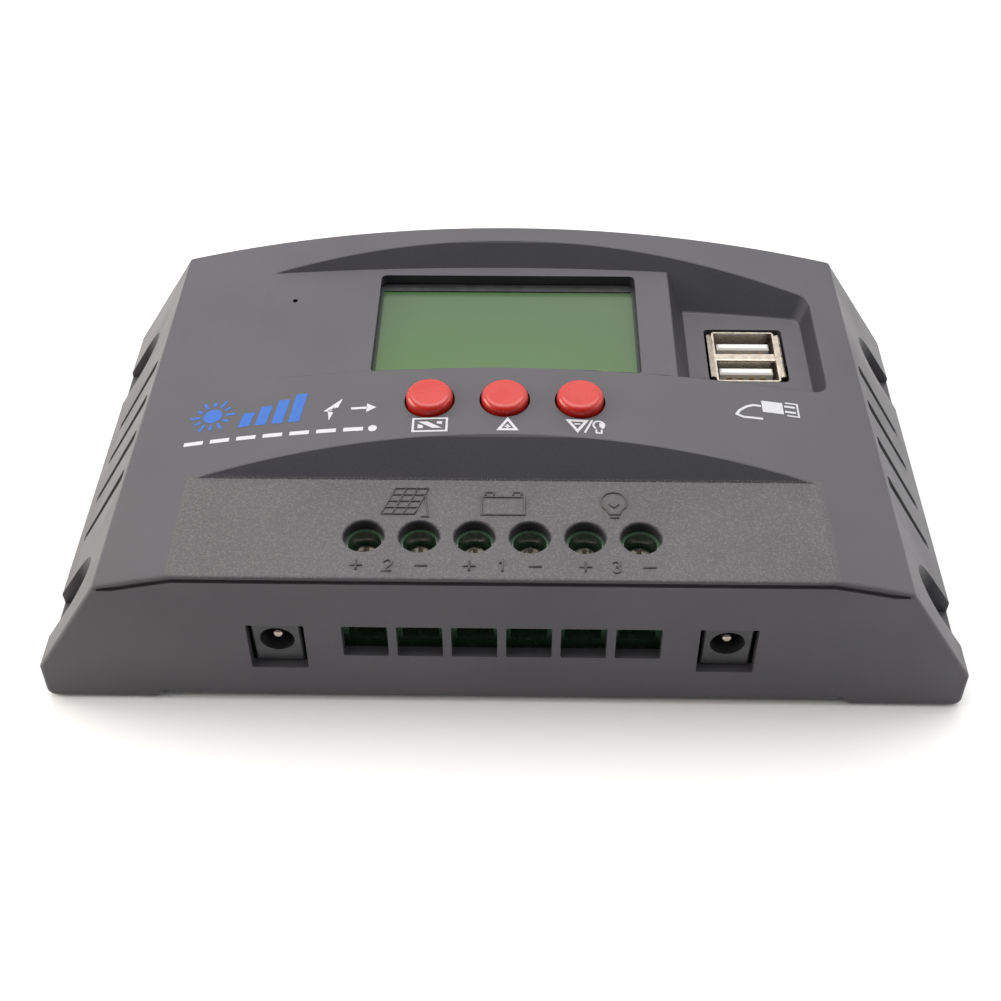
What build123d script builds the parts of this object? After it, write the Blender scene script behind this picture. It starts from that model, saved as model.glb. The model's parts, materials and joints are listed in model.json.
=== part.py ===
from build123d import *
import math
import os

# A wall-mounted solar charge controller.
# Frame: origin at the centre of the underside, +X to the right, +Y to the back, +Z up.
# All lengths are in millimetres.

# ---------------------------------------------------------------- case
WIDTH = 174.0
DEPTH = 103.0
HEIGHT = 37.6            # top of the crown
WALL = 2.2
CROWN_RADIUS = 325.0     # the top is a shallow barrel along the depth
SIDE_HEIGHT = 8.0        # upright part of each side
SHOULDER_HALF = 72.8     # half width where a sloped side meets the crown
SHOULDER_Z = 29.5
SHOULDER_TOE = 1.5       # each shoulder runs inwards by this much from front to back
FRONT_LEAN = 0.1         # rearward lean of the front face, per unit of height
BACK_LEAN = 0.08         # forward lean of the back face
BACK_BOW = 3.1           # the back face bulges by this much in plan
EDGE_ROUND = 0.9
FOOT_ROUND = 1.8
OVERRUN = 5.0            # how far cutting tools run past a face

# ---------------------------------------------------------------- recesses in the crown
TERMINAL_DECK_Z = 32.3
TERMINAL_DECK_END = 27.3         # distance of its back edge from the front
TERMINAL_WALL_RUN = 7.3          # the wall behind the deck climbs 5.3 in this run
TERMINAL_WALL_RISE = 5.3
DISPLAY_DECK_Z = 33.5
DISPLAY_FRONT = 53.5
DISPLAY_BACK = 90.5              # at the middle
DISPLAY_BACK_RADIUS = 500.0
DISPLAY_WALL_SLOPE = 1.1         # run per unit of rise
USB_FLOOR_Z = 27.7
USB_LEFT = 37.9
USB_RIGHT = 62.4
USB_LEFT_SLOPE = 0.586
USB_RIGHT_SLOPE = 0.657
USB_CORNER = 3.0
RIM_ROUND = 0.6

# ---------------------------------------------------------------- openings
POLE_PITCH = 10.0
POLES = 6
POLE_Y = 13.4
DRIVER_HOLE_R = 3.6
WIRE_WINDOW_W = 8.4
WIRE_WINDOW_H = 7.6
WIRE_WINDOW_Z = 16.3
JACK_X = 41.3
JACK_WINDOW_W = 10.6
JACK_WINDOW_H = 11.2
JACK_WINDOW_Z = 14.6
BUTTON_PITCH = 14.5
BUTTON_Y = 44.0
BUTTON_HOLE_R = 4.9
SCREEN_HALF = 27.3
SCREEN_FRONT = 56.2
SCREEN_BACK = 87.7
USB_X = 50.1
USB_Y = 68.8
USB_WINDOW = 16.5
PINHOLE_X = -45.1
PINHOLE_Y = 78.7
SLOT_FOOT_Y = (29.9, 40.5, 51.5, 61.7)
SLOT_HEAD_Y = (33.0, 43.9, 54.5, 65.0)
SLOT_FOOT_Z = 11.5
SLOT_HEAD_Z = 27.6
SLOT_FOOT_W = 2.2
SLOT_HEAD_W = 3.3

# ---------------------------------------------------------------- fixing points
MOUNT_X = 82.0
MOUNT_Y = (13.7, 80.7)
MOUNT_HOLE_R = 2.25
MOUNT_CHANNEL_R = 5.3
MOUNT_FLANGE_Z = 5.0
CASE_SCREW_X = 78.0
CASE_SCREW_Y = (24.5, 69.9)
BOSS_R = 3.0
BOSS_TOP = 15.1          # just inside the sloped sides
FOOT_GAP_HALF = 66.5     # the feet are outside this half width
FOOT_GAP_Z = 2.3

# ---------------------------------------------------------------- boards
COVER_BOTTOM = 1.0
COVER_TOP = 3.2
BOARD_BOTTOM = 7.6
BOARD_TOP = 9.2
BOARD_HALF = 72.0
BOARD_FRONT = 4.0
BOARD_BACK = 96.0
BOARD_SCREW_X = 67.0
BOARD_SCREW_Y = (24.0, 91.5)
DISPLAY_BOARD_BOTTOM = 23.3
DISPLAY_BOARD_TOP = 24.9
DISPLAY_BOARD_LEFT = -50.0
DISPLAY_BOARD_RIGHT = 34.0
DISPLAY_BOARD_FRONT = 35.0
DISPLAY_BOARD_BACK = 96.4
# each post: x, distance from the front, height of its root inside the crown
DISPLAY_POSTS = ((-46.0, 42.0, 33.2), (30.0, 42.0, 35.0), (-40.0, 93.3, 33.2), (30.0, 93.3, 33.2))
POST_R = 2.6

# ---------------------------------------------------------------- buttons
CAP_R = 4.5
CAP_TOP = 39.3
CAP_FLANGE_R = 5.6
CAP_FLANGE_TOP = 34.5
CAP_FLANGE_T = 1.2
CAP_ROUND = 1.2
PLUNGER_TOP = 29.4
PLUNGER_R = 1.7

# ---------------------------------------------------------------- terminals
BLOCK_FRONT = 5.3
BLOCK_BACK = 21.5
BLOCK_TOP = 30.0
BLOCK_W = 19.8
WELL_R = 3.05
SCREW_HEAD_TOP = 26.9
SCREW_HEAD_BOTTOM = 24.7
SCREW_HEAD_R = 2.75
SCREW_SHANK_R = 1.95
SCREW_TIP = 18.7
SHELF_BOTTOM = 24.1
BAR_TOP = 18.6
BAR_T = 1.2
CAGE_BOTTOM = 11.7
CAGE_TOP = 20.5
CAGE_W = 7.4
CAGE_D = 7.0
CAGE_T = 1.2


def y_at(distance):
    """Y of a point that lies this far behind the front edge of the underside."""
    return distance - DEPTH / 2


def pole_x(number):
    return (number - (POLES - 1) / 2) * POLE_PITCH


def save(builder, name):
    builder.part.label = name
    export_step(builder.part, f"parts/{name}.step")


def envelope(inset, front_inset=None):
    """The closed form of the case with its faces moved inwards by inset."""
    front_inset = inset if front_inset is None else front_inset
    half = WIDTH / 2 - inset
    crown_centre = HEIGHT - CROWN_RADIUS
    radius = CROWN_RADIUS - inset
    edge_z = crown_centre + math.sqrt(radius**2 - half**2)
    floor_z = -OVERRUN if inset else 0.0
    rise = SHOULDER_Z - SIDE_HEIGHT
    run = WIDTH / 2 - SHOULDER_HALF
    back_radius = ((WIDTH / 2) ** 2 + BACK_BOW**2) / (2 * BACK_BOW)
    cone_height = HEIGHT + 2 * OVERRUN
    cone_bottom = back_radius - inset + BACK_LEAN * OVERRUN
    with BuildPart() as form:
        with BuildSketch(Plane.XZ):
            with BuildLine():
                Polyline((-half, edge_z), (-half, floor_z), (half, floor_z), (half, edge_z))
                ThreePointArc((half, edge_z), (0, crown_centre + radius), (-half, edge_z))
            make_face()
        extrude(amount=DEPTH, both=True)
        for side in (-1, 1):
            corner = (side * WIDTH / 2, -DEPTH / 2, SIDE_HEIGHT)
            outward = (side * rise, rise * SHOULDER_TOE / DEPTH, run)
            with BuildSketch(Plane(origin=corner, z_dir=outward).offset(-inset)):
                Rectangle(3 * WIDTH, 3 * WIDTH)
            extrude(amount=WIDTH, mode=Mode.SUBTRACT)
        front = Plane(origin=(0, -DEPTH / 2, 0), z_dir=(0, -1, FRONT_LEAN))
        with BuildSketch(front.offset(-front_inset)):
            Rectangle(3 * WIDTH, 3 * WIDTH)
        extrude(amount=WIDTH, mode=Mode.SUBTRACT)
        with Locations((0, DEPTH / 2 - back_radius, -OVERRUN)):
            Cone(
                cone_bottom,
                cone_bottom - BACK_LEAN * cone_height,
                cone_height,
                align=(Align.CENTER, Align.CENTER, Align.MIN),
                mode=Mode.INTERSECT,
            )
    return form.part


def lies_on_crown(edge):
    """True for an edge that runs on the barrelled top surface."""
    crown_centre = HEIGHT - CROWN_RADIUS
    radii = [math.hypot((edge @ t).X, (edge @ t).Z - crown_centre) for t in (0.1, 0.5, 0.9)]
    return all(abs(radius - CROWN_RADIUS) < 0.02 for radius in radii)


def terminal_recess(grow):
    """Space over the terminal deck, grown by grow, as a prism across the case."""
    slant = math.hypot(TERMINAL_WALL_RUN, TERMINAL_WALL_RISE)
    floor_z = TERMINAL_DECK_Z - grow
    foot = TERMINAL_DECK_END + grow * (slant - TERMINAL_WALL_RUN) / TERMINAL_WALL_RISE
    top_z = HEIGHT + OVERRUN
    head = foot + (top_z - floor_z) * TERMINAL_WALL_RUN / TERMINAL_WALL_RISE
    with BuildPart() as recess:
        with BuildSketch(Plane.YZ):
            with BuildLine():
                Polyline(
                    (y_at(-OVERRUN), floor_z),
                    (y_at(foot), floor_z),
                    (y_at(head), top_z),
                    (y_at(-OVERRUN), top_z),
                    close=True,
                )
            make_face()
        extrude(amount=WIDTH, both=True)
    return recess.part


def crown_pocket(grow):
    """Space over the display deck and the deeper port well beside it, grown by grow."""
    deck_z = DISPLAY_DECK_Z - grow
    well_z = USB_FLOOR_Z - grow
    top_z = HEIGHT + OVERRUN
    left_foot = USB_LEFT - grow * (math.hypot(1, USB_LEFT_SLOPE) - USB_LEFT_SLOPE)
    right_foot = USB_RIGHT + grow * (math.hypot(1, USB_RIGHT_SLOPE) - USB_RIGHT_SLOPE)
    back_radius = DISPLAY_BACK_RADIUS + DISPLAY_WALL_SLOPE * (well_z - DISPLAY_DECK_Z)
    back_radius += grow * math.hypot(1, DISPLAY_WALL_SLOPE)
    with BuildPart() as pocket:
        with BuildSketch(Plane.XZ.offset(-y_at(DISPLAY_FRONT - grow))):
            with BuildLine():
                Polyline(
                    (-WIDTH, deck_z),
                    (left_foot - USB_LEFT_SLOPE * (deck_z - well_z), deck_z),
                    (left_foot, well_z),
                    (right_foot, well_z),
                    (right_foot + USB_RIGHT_SLOPE * (top_z - well_z), top_z),
                    (-WIDTH, top_z),
                    close=True,
                )
            make_face()
        extrude(amount=-DEPTH)
        with Locations((0, y_at(DISPLAY_BACK) - DISPLAY_BACK_RADIUS, well_z)):
            Cone(
                back_radius,
                back_radius + DISPLAY_WALL_SLOPE * (top_z - well_z),
                top_z - well_z,
                align=(Align.CENTER, Align.CENTER, Align.MIN),
                mode=Mode.INTERSECT,
            )
        if not grow:
            right_corners = pocket.edges().filter_by(
                lambda edge: abs((edge @ 0).Z - (edge @ 1).Z) > (top_z - well_z) / 2
                and edge.center().X > USB_X
            )
            fillet(right_corners, USB_CORNER)
    return pocket.part


def mount_channels(grow, bottom):
    """Open channels in the sloped sides, down to the flanges that take the wall screws."""
    radius = MOUNT_CHANNEL_R + grow
    with BuildPart() as channels:
        with BuildSketch(Plane.XY.offset(bottom)):
            for side in (-1, 1):
                for y in MOUNT_Y:
                    with Locations((side * MOUNT_X, y_at(y))):
                        Circle(radius)
                    with Locations((side * (MOUNT_X + radius), y_at(y))):
                        Rectangle(2 * radius, 2 * radius)
        extrude(amount=HEIGHT)
    return channels.part


def top_edge_groove():
    """The fine groove that runs along the front face just under the top edge."""
    upper, lower, depth = 0.5, 1.5, 0.6
    outer = envelope(upper, -1.0) - terminal_recess(upper)
    inner = envelope(lower, -1.0) - terminal_recess(lower)
    band = outer - inner - envelope(0, depth)
    keep = Pos(0, y_at(0), SHOULDER_Z + OVERRUN - 0.9) * Box(2 * SHOULDER_HALF - 1.5, 12, 2 * OVERRUN)
    return band & keep


def side_slots(side):
    """Four leaning ventilation slots through one sloped side."""
    with BuildPart() as slots:
        with BuildSketch(Plane.YZ.offset(side * SHOULDER_HALF * 0.8)) as outline:
            for foot, head in zip(SLOT_FOOT_Y, SLOT_HEAD_Y):
                with BuildLine():
                    Polyline(
                        (y_at(foot - SLOT_FOOT_W / 2), SLOT_FOOT_Z),
                        (y_at(foot + SLOT_FOOT_W / 2), SLOT_FOOT_Z),
                        (y_at(head + SLOT_HEAD_W / 2), SLOT_HEAD_Z),
                        (y_at(head - SLOT_HEAD_W / 2), SLOT_HEAD_Z),
                        close=True,
                    )
                make_face()
            fillet(outline.vertices(), SLOT_FOOT_W * 0.4)
        extrude(amount=side * WIDTH / 4)
    return slots.part


# ---------------------------------------------------------------- top housing
os.makedirs("parts", exist_ok=True)

outer_form = envelope(0)
inner_form = envelope(WALL)
inner_form -= terminal_recess(WALL)
inner_form -= crown_pocket(WALL)
inner_form -= mount_channels(WALL, -OVERRUN)
groove = top_edge_groove()

with BuildPart() as housing:
    add(outer_form)
    fillet(housing.edges().filter_by(Axis.Y).sort_by(Axis.Z)[:2], FOOT_ROUND)
    outline_edges = housing.edges().filter_by(lambda edge: edge.center().Z > FOOT_ROUND + 0.1)
    fillet(outline_edges, EDGE_ROUND)
    add(terminal_recess(0), mode=Mode.SUBTRACT)
    add(crown_pocket(0), mode=Mode.SUBTRACT)
    # soft rims round the recesses
    deck_rims = housing.edges().filter_by(
        lambda edge: edge.length > WIDTH / 2
        and edge.center().Z > TERMINAL_DECK_Z + 1
        and y_at(TERMINAL_DECK_END) < edge.center().Y < 0
    )
    fillet(deck_rims, RIM_ROUND)
    deck_front = housing.edges().filter_by(
        lambda edge: edge.length > WIDTH / 2
        and abs(edge.center().Z - TERMINAL_DECK_Z) < 0.3
        and edge.center().Y < y_at(2 * EDGE_ROUND + FRONT_LEAN * TERMINAL_DECK_Z)
    )
    fillet(deck_front, RIM_ROUND)
    pocket_rims = housing.edges().filter_by(
        lambda edge: lies_on_crown(edge)
        and y_at(DISPLAY_FRONT) - 1 < edge.center().Y < y_at(DISPLAY_BACK) + 6
        and edge.center().X > -DISPLAY_FRONT
        and edge.length > RIM_ROUND
    )
    fillet(pocket_rims, RIM_ROUND)
    deck_side = housing.edges().filter_by(
        lambda edge: edge.length > 30
        and abs(edge.center().Z - DISPLAY_DECK_Z) < 0.1
        and 0 < edge.center().X < USB_LEFT
        and abs((edge @ 0).X - (edge @ 1).X) < 1
    )
    fillet(deck_side, RIM_ROUND)
    well_foot = housing.edges().filter_by(
        lambda edge: abs(edge.center().Z - USB_FLOOR_Z) < 0.05
        and edge.center().Y > y_at(DISPLAY_FRONT) + 1
        and edge.center().X > USB_LEFT + 0.5
    )
    fillet(well_foot, RIM_ROUND)
    add(mount_channels(0, MOUNT_FLANGE_Z), mode=Mode.SUBTRACT)
    add(groove, mode=Mode.SUBTRACT)
    add(inner_form, mode=Mode.SUBTRACT)
    # gap between the feet, at the front and the back
    with BuildSketch(Plane.XZ):
        with BuildLine():
            Polyline(
                (-FOOT_GAP_HALF, 0),
                (FOOT_GAP_HALF, 0),
                (FOOT_GAP_HALF - FOOT_GAP_Z, FOOT_GAP_Z),
                (-FOOT_GAP_HALF + FOOT_GAP_Z, FOOT_GAP_Z),
                close=True,
            )
        make_face()
    extrude(amount=DEPTH, both=True, mode=Mode.SUBTRACT)
    # screwdriver holes in the terminal deck
    with BuildSketch(Plane.XY.offset(TERMINAL_DECK_Z - 2 * WALL)):
        with Locations((0, y_at(POLE_Y))):
            with GridLocations(POLE_PITCH, 1, POLES, 1):
                Circle(DRIVER_HOLE_R)
    extrude(amount=4 * WALL, mode=Mode.SUBTRACT)
    hole_rims = housing.edges().filter_by(
        lambda edge: edge.geom_type == GeomType.CIRCLE
        and abs(edge.radius - DRIVER_HOLE_R) < 0.01
        and abs(edge.center().Z - TERMINAL_DECK_Z) < 0.05
    )
    fillet(hole_rims, RIM_ROUND)
    # wire windows and jack windows in the front face
    with BuildSketch(Plane.XZ.offset(-y_at(-OVERRUN))):
        with Locations((0, WIRE_WINDOW_Z)):
            with GridLocations(POLE_PITCH, 1, POLES, 1):
                RectangleRounded(WIRE_WINDOW_W, WIRE_WINDOW_H, 0.3)
        with Locations((-JACK_X, JACK_WINDOW_Z), (JACK_X, JACK_WINDOW_Z)):
            RectangleRounded(JACK_WINDOW_W, JACK_WINDOW_H, 0.3)
    extrude(amount=-3 * OVERRUN, mode=Mode.SUBTRACT)
    # button holes and pinhole through the crown
    with BuildSketch(Plane.XY.offset(HEIGHT - 2 * WALL - 0.5)):
        with Locations((0, y_at(BUTTON_Y))):
            with GridLocations(BUTTON_PITCH, 1, 3, 1):
                Circle(BUTTON_HOLE_R)
    extrude(amount=3 * WALL, mode=Mode.SUBTRACT)
    with BuildSketch(Plane.XY.offset(DISPLAY_DECK_Z - 2 * WALL)):
        with Locations((PINHOLE_X, y_at(PINHOLE_Y))):
            Circle(0.55)
        with Locations((0, y_at((SCREEN_FRONT + SCREEN_BACK) / 2))):
            RectangleRounded(2 * SCREEN_HALF, SCREEN_BACK - SCREEN_FRONT, 1.2)
    extrude(amount=4 * WALL, mode=Mode.SUBTRACT)
    with BuildSketch(Plane.XY.offset(USB_FLOOR_Z - 2 * WALL)):
        with Locations((USB_X, y_at(USB_Y))):
            RectangleRounded(USB_WINDOW, USB_WINDOW, 1.0)
    extrude(amount=4 * WALL, mode=Mode.SUBTRACT)
    add(side_slots(1), mode=Mode.SUBTRACT)
    add(side_slots(-1), mode=Mode.SUBTRACT)
    # bosses for the case screws, up to the sloped sides
    with BuildSketch(Plane.XY.offset(COVER_TOP + 0.1)):
        for boss_y in CASE_SCREW_Y:
            with Locations((-CASE_SCREW_X, y_at(boss_y)), (CASE_SCREW_X, y_at(boss_y))):
                Circle(BOSS_R)
    extrude(amount=BOSS_TOP - COVER_TOP - 0.1)
    # posts for the display board
    for post_x, post_y, post_top in DISPLAY_POSTS:
        with BuildSketch(Plane.XY.offset(DISPLAY_BOARD_TOP)):
            with Locations((post_x, y_at(post_y))):
                Circle(POST_R)
        extrude(amount=post_top - DISPLAY_BOARD_TOP)
    with BuildSketch(Plane.XY.offset(COVER_TOP)):
        for boss_y in CASE_SCREW_Y:
            with Locations((-CASE_SCREW_X, y_at(boss_y)), (CASE_SCREW_X, y_at(boss_y))):
                Circle(1.5)
    extrude(amount=9, mode=Mode.SUBTRACT)
    with BuildSketch(Plane.XY.offset(DISPLAY_BOARD_TOP - 0.1)):
        for post_x, post_y, _ in DISPLAY_POSTS:
            with Locations((post_x, y_at(post_y))):
                Circle(1.1)
    extrude(amount=5.1, mode=Mode.SUBTRACT)
    with BuildSketch(Plane.XY.offset(-1)):
        for side in (-1, 1):
            for mount_y in MOUNT_Y:
                with Locations((side * MOUNT_X, y_at(mount_y))):
                    Circle(MOUNT_HOLE_R)
    extrude(amount=MOUNT_FLANGE_Z + 2, mode=Mode.SUBTRACT)
save(housing, "top_housing")


# ---------------------------------------------------------------- rear cover
cover_form = envelope(WALL + 0.2) - mount_channels(WALL + 0.2, -OVERRUN)
lip_top = FOOT_GAP_Z - 0.15
lip_slab = Pos(0, 0, (COVER_BOTTOM + lip_top) / 2) * Box(
    2 * (FOOT_GAP_HALF - FOOT_GAP_Z - 0.4), 2 * DEPTH, lip_top - COVER_BOTTOM
)
cover_lips = envelope(0.4) & lip_slab
with BuildPart() as cover:
    add(cover_form)
    with Locations((0, 0, (COVER_BOTTOM + COVER_TOP) / 2)):
        Box(WIDTH, 2 * DEPTH, COVER_TOP - COVER_BOTTOM, mode=Mode.INTERSECT)
    # lips that close the gap between the feet
    add(cover_lips)
    # ventilation slots
    with BuildSketch(Plane.XY):
        with Locations((0, 6)):
            with GridLocations(7.0, 30.0, 13, 2):
                SlotOverall(22, 2.6, rotation=90)
    extrude(amount=COVER_TOP + 1, mode=Mode.SUBTRACT)
    # standoffs for the main board
    with BuildSketch(Plane.XY.offset(COVER_TOP)):
        for standoff_y in BOARD_SCREW_Y:
            with Locations((-BOARD_SCREW_X, y_at(standoff_y)), (BOARD_SCREW_X, y_at(standoff_y))):
                Circle(3.0)
    extrude(amount=BOARD_BOTTOM - COVER_TOP)
    with BuildSketch(Plane.XY.offset(COVER_BOTTOM + 1)):
        for standoff_y in BOARD_SCREW_Y:
            with Locations((-BOARD_SCREW_X, y_at(standoff_y)), (BOARD_SCREW_X, y_at(standoff_y))):
                Circle(1.3)
    extrude(amount=BOARD_BOTTOM, mode=Mode.SUBTRACT)
    for screw_y in CASE_SCREW_Y:
        screw_place = y_at(screw_y)
        with Locations(
            (-CASE_SCREW_X, screw_place, COVER_BOTTOM),
            (CASE_SCREW_X, screw_place, COVER_BOTTOM),
        ):
            Cylinder(1.7, 2 * COVER_TOP, mode=Mode.SUBTRACT)
            Cone(2.9, 1.7, 1.4, align=(Align.CENTER, Align.CENTER, Align.MIN), mode=Mode.SUBTRACT)
save(cover, "rear_cover")


def pan_screws(places, seat_z, tip_z, head_r, head_h, shank_r, down):
    """Pan-head screws with a cross recess; down is 1 when the tip points down."""
    with BuildPart() as screws:
        for x, y in places:
            with BuildSketch(Plane.XY.offset(seat_z)):
                with Locations((x, y)):
                    Circle(head_r)
            extrude(amount=down * head_h, taper=12)
            with BuildSketch(Plane.XY.offset(seat_z)):
                with Locations((x, y)):
                    Circle(shank_r)
            extrude(amount=tip_z - seat_z)
            with BuildSketch(Plane.XY.offset(seat_z + down * head_h)):
                with Locations((x, y)):
                    Rectangle(head_r * 1.1, head_r * 0.25)
                    Rectangle(head_r * 0.25, head_r * 1.1)
            extrude(amount=-down * head_h * 0.6, mode=Mode.SUBTRACT)
    return screws


ALIGN_UP = (Align.CENTER, Align.CENTER, Align.MIN)

with BuildPart() as case_screws:
    for screw_y in CASE_SCREW_Y:
        for screw_x in (-CASE_SCREW_X, CASE_SCREW_X):
            with Locations((screw_x, y_at(screw_y), COVER_BOTTOM)):
                Cone(2.75, 1.45, 1.35, align=ALIGN_UP)
                Cylinder(1.45, 9.5, align=ALIGN_UP)
                Box(3.0, 0.6, 0.7, align=ALIGN_UP, mode=Mode.SUBTRACT)
                Box(0.6, 3.0, 0.7, align=ALIGN_UP, mode=Mode.SUBTRACT)
save(case_screws, "case_screws")

board_screw_places = [(x, y_at(y)) for x in (-BOARD_SCREW_X, BOARD_SCREW_X) for y in BOARD_SCREW_Y]
board_screws = pan_screws(board_screw_places, BOARD_TOP, COVER_TOP - 0.5, 2.6, 1.6, 1.25, 1)
save(board_screws, "board_screws")

display_screw_places = [(x, y_at(y)) for x, y, _ in DISPLAY_POSTS]
display_screws = pan_screws(
    display_screw_places, DISPLAY_BOARD_BOTTOM, DISPLAY_BOARD_TOP + 4.6, 2.2, 1.4, 1.05, -1
)
save(display_screws, "display_screws")

# ---------------------------------------------------------------- circuit boards
PIN_Y = 18.05            # solder pins of the terminal contacts
PIN_R = 0.6

with BuildPart() as main_board:
    with BuildSketch(Plane.XY.offset(BOARD_BOTTOM)) as board_outline:
        with Locations((0, y_at((BOARD_FRONT + BOARD_BACK) / 2))):
            RectangleRounded(2 * BOARD_HALF, BOARD_BACK - BOARD_FRONT, 2)
        with Locations(*board_screw_places):
            Circle(1.6, mode=Mode.SUBTRACT)
        for number in range(POLES):
            with Locations((pole_x(number) - 1.6, y_at(PIN_Y)), (pole_x(number) + 1.6, y_at(PIN_Y))):
                Circle(PIN_R + 0.1, mode=Mode.SUBTRACT)
    extrude(amount=BOARD_TOP - BOARD_BOTTOM)
save(main_board, "main_board")

with BuildPart() as display_board:
    with BuildSketch(Plane.XY.offset(DISPLAY_BOARD_BOTTOM)):
        board_mid = (
            (DISPLAY_BOARD_LEFT + DISPLAY_BOARD_RIGHT) / 2,
            y_at((DISPLAY_BOARD_FRONT + DISPLAY_BOARD_BACK) / 2),
        )
        with Locations(board_mid):
            RectangleRounded(
                DISPLAY_BOARD_RIGHT - DISPLAY_BOARD_LEFT, DISPLAY_BOARD_BACK - DISPLAY_BOARD_FRONT, 1.5
            )
        with Locations(*display_screw_places):
            Circle(1.25, mode=Mode.SUBTRACT)
    extrude(amount=DISPLAY_BOARD_TOP - DISPLAY_BOARD_BOTTOM)
save(display_board, "display_board")

HEADER_X = -46.0
HEADER_Y = 60.0
HEADER_PINS = 5
HEADER_PITCH = 2.54

with BuildPart() as header_body:
    with Locations((HEADER_X, y_at(HEADER_Y), BOARD_TOP)):
        Box(5.0, HEADER_PINS * HEADER_PITCH, 9.0, align=ALIGN_UP)
    with Locations((HEADER_X, y_at(HEADER_Y), BOARD_TOP)):
        with GridLocations(HEADER_PITCH, HEADER_PITCH, 2, HEADER_PINS):
            Box(0.8, 0.8, 9.0, align=ALIGN_UP, mode=Mode.SUBTRACT)
save(header_body, "header_body")

with BuildPart() as header_pins:
    with Locations((HEADER_X, y_at(HEADER_Y), BOARD_TOP)):
        with GridLocations(HEADER_PITCH, HEADER_PITCH, 2, HEADER_PINS):
            Box(0.64, 0.64, DISPLAY_BOARD_BOTTOM - BOARD_TOP, align=ALIGN_UP)
save(header_pins, "header_pins")

# ---------------------------------------------------------------- display
BEZEL_TOP = 31.0
GLASS_TOP = 30.7
GLASS_BOTTOM = 28.0
SCREEN_MID_Y = y_at((54.5 + 89.5) / 2)
GLASS_W = 60.0
GLASS_D = 35.0
BEZEL_OPENING_W = 53.6
BEZEL_OPENING_BACK = 85.5
BEZEL_OPENING_FRONT = 55.4

with BuildPart() as lcd_glass:
    with Locations((0, SCREEN_MID_Y, GLASS_BOTTOM)):
        Box(GLASS_W, GLASS_D, (GLASS_TOP - GLASS_BOTTOM) / 2, align=ALIGN_UP)
    with Locations((0, SCREEN_MID_Y - 0.6, (GLASS_TOP + GLASS_BOTTOM) / 2)):
        Box(GLASS_W, GLASS_D - 1.8, (GLASS_TOP - GLASS_BOTTOM) / 2, align=ALIGN_UP)
    chamfer(lcd_glass.faces().sort_by(Axis.Z)[-1].edges(), 0.15)
save(lcd_glass, "lcd_glass")

with BuildPart() as lcd_backlight:
    with Locations((0, SCREEN_MID_Y, DISPLAY_BOARD_TOP)):
        Box(GLASS_W, GLASS_D, GLASS_BOTTOM - DISPLAY_BOARD_TOP, align=ALIGN_UP)
    with Locations((GLASS_W / 2, SCREEN_MID_Y, DISPLAY_BOARD_TOP)):
        Box(1.0, 12, 1.6, align=ALIGN_UP, mode=Mode.SUBTRACT)
save(lcd_backlight, "lcd_backlight")

with BuildPart() as lcd_bezel:
    with Locations((0, SCREEN_MID_Y, DISPLAY_BOARD_TOP)):
        Box(GLASS_W + 2.4, GLASS_D + 2.0, BEZEL_TOP - DISPLAY_BOARD_TOP, align=ALIGN_UP)
        Box(
            GLASS_W + 0.2,
            GLASS_D + 0.2,
            GLASS_TOP + 0.05 - DISPLAY_BOARD_TOP,
            align=ALIGN_UP,
            mode=Mode.SUBTRACT,
        )
    with Locations((0, y_at((BEZEL_OPENING_FRONT + BEZEL_OPENING_BACK) / 2), BEZEL_TOP)):
        Box(BEZEL_OPENING_W, BEZEL_OPENING_BACK - BEZEL_OPENING_FRONT, 4, mode=Mode.SUBTRACT)
save(lcd_bezel, "lcd_bezel")

with BuildPart() as lcd_gasket:
    with BuildSketch(Plane.XY.offset(BEZEL_TOP)):
        with Locations((0, y_at((SCREEN_FRONT + SCREEN_BACK) / 2))):
            Rectangle(2 * SCREEN_HALF + 3.6, SCREEN_BACK - SCREEN_FRONT + 3.6)
            RectangleRounded(
                2 * SCREEN_HALF + 0.8, SCREEN_BACK - SCREEN_FRONT + 0.8, 1.2, mode=Mode.SUBTRACT
            )
    extrude(amount=DISPLAY_DECK_Z - WALL - BEZEL_TOP)
save(lcd_gasket, "lcd_gasket")

# ---------------------------------------------------------------- buttons
SWITCH_TOP = 28.4
SWITCH_BORE = 1.9

with BuildPart() as switches:
    with Locations((0, y_at(BUTTON_Y), DISPLAY_BOARD_TOP)):
        with GridLocations(BUTTON_PITCH, 1, 3, 1):
            Box(6.2, 6.2, SWITCH_TOP - DISPLAY_BOARD_TOP, align=ALIGN_UP)
    chamfer(switches.edges().filter_by(Axis.Z), 0.5)
    with Locations((0, y_at(BUTTON_Y), DISPLAY_BOARD_TOP + 1.4)):
        with GridLocations(BUTTON_PITCH, 1, 3, 1):
            Cylinder(SWITCH_BORE, 4, align=ALIGN_UP, mode=Mode.SUBTRACT)
save(switches, "tact_switches")

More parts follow.
